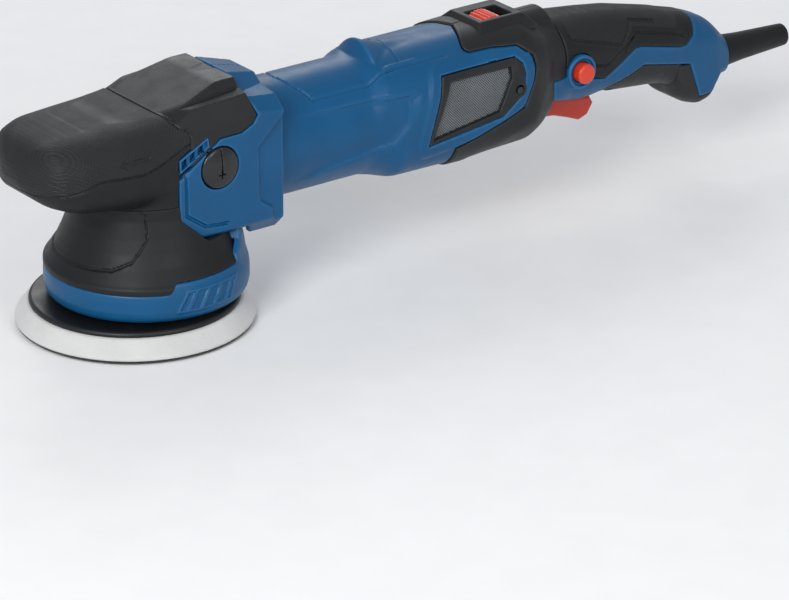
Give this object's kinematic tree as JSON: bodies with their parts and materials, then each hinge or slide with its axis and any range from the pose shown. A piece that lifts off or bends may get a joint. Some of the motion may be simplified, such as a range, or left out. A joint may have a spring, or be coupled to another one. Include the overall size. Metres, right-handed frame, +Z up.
{
  "type": "dual action polisher",
  "caption": "Corded dual action polisher: a free-spinning pad on an eccentric under a palm-grip gear head, with a motor barrel, speed dial, trigger, lock button and rear handle.",
  "frame": {"origin": "on the main spindle axis, in the plane of the pad's hook face", "axes": "+X along the motor towards the cord, +Y to the tool's right side, +Z up from the pad along the spindle"},
  "size_m": [0.512, 0.125, 0.128],
  "materials": {
    "housing_blue": "satin moulded polyamide",
    "plastic_black": "fine grained moulded plastic",
    "rubber_black": "matt soft-touch elastomer with a fine pattern",
    "plate_black": "smooth moulded plate",
    "foam_grey": "closed-cell foam with a fine grain",
    "hook_fabric": "short nylon hooks",
    "button_orange": "semi-gloss",
    "trigger_red": "semi-gloss",
    "cast_aluminium": "die cast and machined",
    "gear_steel": "hardened steel, oiled",
    "polished_steel": "ground",
    "lamination_steel": "stacked laminations, lacquered",
    "winding_copper": "enamelled copper wire",
    "holder_brass": "pressed brass",
    "carbon": "carbon graphite",
    "board_green": "coated circuit board"
  },
  "bodies": {
    "housing": {"lower_bearing_outer": "polished_steel", "upper_bearing_outer": "polished_steel", "bearing_plate": "cast_aluminium", "gear_case": "cast_aluminium", "gear_case_screws": "polished_steel", "shroud": "housing_blue", "head_boot": "rubber_black", "palm_grip": "rubber_black", "top_cover": "plastic_black", "head_cover_left": "housing_blue", "head_cover_right": "housing_blue", "vent_insert_left": "housing_blue", "vent_insert_right": "housing_blue", "side_plugs": "plastic_black", "front_bearing_outer": "polished_steel", "rear_bearing_outer": "polished_steel", "motor_housing": "housing_blue", "stator_core": "lamination_steel", "field_coils": "winding_copper", "air_baffle": "plastic_black", "bearing_bracket": "plastic_black", "brush_holders": "holder_brass", "carbon_brushes": "carbon", "rear_shell_left": "plastic_black", "rear_shell_right": "plastic_black", "dial_plate": "plastic_black", "dial_axle": "polished_steel", "filter_left": "plastic_black", "filter_right": "plastic_black", "filter_screws": "polished_steel", "speed_controller": "board_green", "switch_body": "plastic_black", "trigger_pin": "polished_steel", "handle_grip": "rubber_black", "handle_trim": "housing_blue", "tail_hook": "plastic_black", "handle_screws": "polished_steel", "cord_sleeve": "rubber_black"},
    "eccentric": {"counterweight": "gear_steel", "main_spindle": "polished_steel", "ring_gear": "gear_steel", "lower_bearing_inner": "polished_steel", "upper_bearing_inner": "polished_steel", "pad_bearing_outer": "polished_steel"},
    "pad": {"hook_face": "hook_fabric", "pad_foam": "foam_grey", "backing_plate": "plate_black", "pad_spindle": "polished_steel", "pad_bearing_inner": "polished_steel"},
    "armature": {"armature_shaft": "polished_steel", "pinion": "gear_steel", "armature_core": "lamination_steel", "armature_windings": "winding_copper", "commutator": "winding_copper", "cooling_fan": "plastic_black", "front_bearing_inner": "polished_steel", "rear_bearing_inner": "polished_steel"},
    "trigger": {"trigger": "trigger_red"},
    "lock_button": {"lock_button": "button_orange"},
    "speed_dial": {"speed_dial": "button_orange"}
  },
  "joints": [
    {"name": "eccentric_spin", "type": "hinge", "parent": "housing", "child": "eccentric", "pos_m": [0, 0, 0.05], "axis": [0, 0, 1], "continuous": true},
    {"name": "pad_spin", "type": "hinge", "parent": "eccentric", "child": "pad", "pos_m": [-0.0075, 0, 0.03], "axis": [0, 0, 1], "continuous": true},
    {"name": "armature_spin", "type": "hinge", "parent": "housing", "child": "armature", "pos_m": [0.1, 0, 0.081], "axis": [1, 0, 0], "continuous": true},
    {"name": "trigger_pull", "type": "hinge", "parent": "housing", "child": "trigger", "pos_m": [0.25, 0, 0.0593], "axis": [0, -1, 0], "range_deg": [0, 7], "stiffness_Nm_per_rad": 1.5, "springref_deg": -2.86},
    {"name": "lock_press", "type": "slide", "parent": "housing", "child": "lock_button", "axis": [0, 1, 0], "range_m": [0, 0.003], "stiffness_N_per_m": 400, "springref_m": -0.001},
    {"name": "dial_turn", "type": "hinge", "parent": "housing", "child": "speed_dial", "pos_m": [0.2175, -0.003, 0.109], "axis": [0, 1, 0], "range_deg": [0, 260]}
  ],
  "couplings": [
    {"joint": "armature_spin", "follows": "eccentric_spin", "ratio": 3.6}
  ]
}
